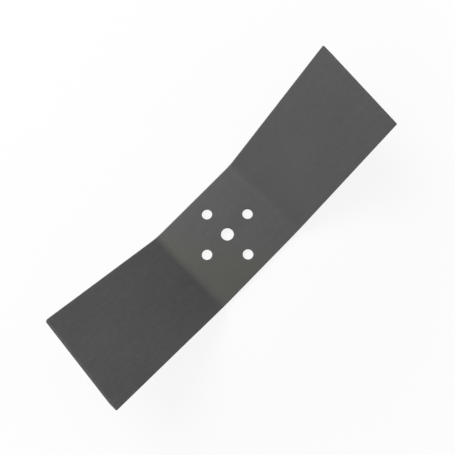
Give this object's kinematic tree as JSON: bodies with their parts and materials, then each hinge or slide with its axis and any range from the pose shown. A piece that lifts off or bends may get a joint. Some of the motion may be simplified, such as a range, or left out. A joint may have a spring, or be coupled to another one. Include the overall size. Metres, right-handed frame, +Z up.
{
  "type": "rotary mower blade",
  "caption": "Flat steel bar mower blade: a drilled flat hub between wings folded upwards, with skewed ends and ground long edges. Bolts to a spindle flange and spins about its centre bore.",
  "frame": {"origin": "on the axis of the centre bore, on the underside of the flat hub, where the blade rests", "axes": "+X along the blade to a wing tip, +Y across the bar, +Z up along the bore axis, the way the wings rise"},
  "size_m": [0.3644, 0.1, 0.0929],
  "materials": {
    "steel": "dark satin heat-treatment scale"
  },
  "bodies": {
    "root": {"blade": "steel"}
  },
  "joints": []
}
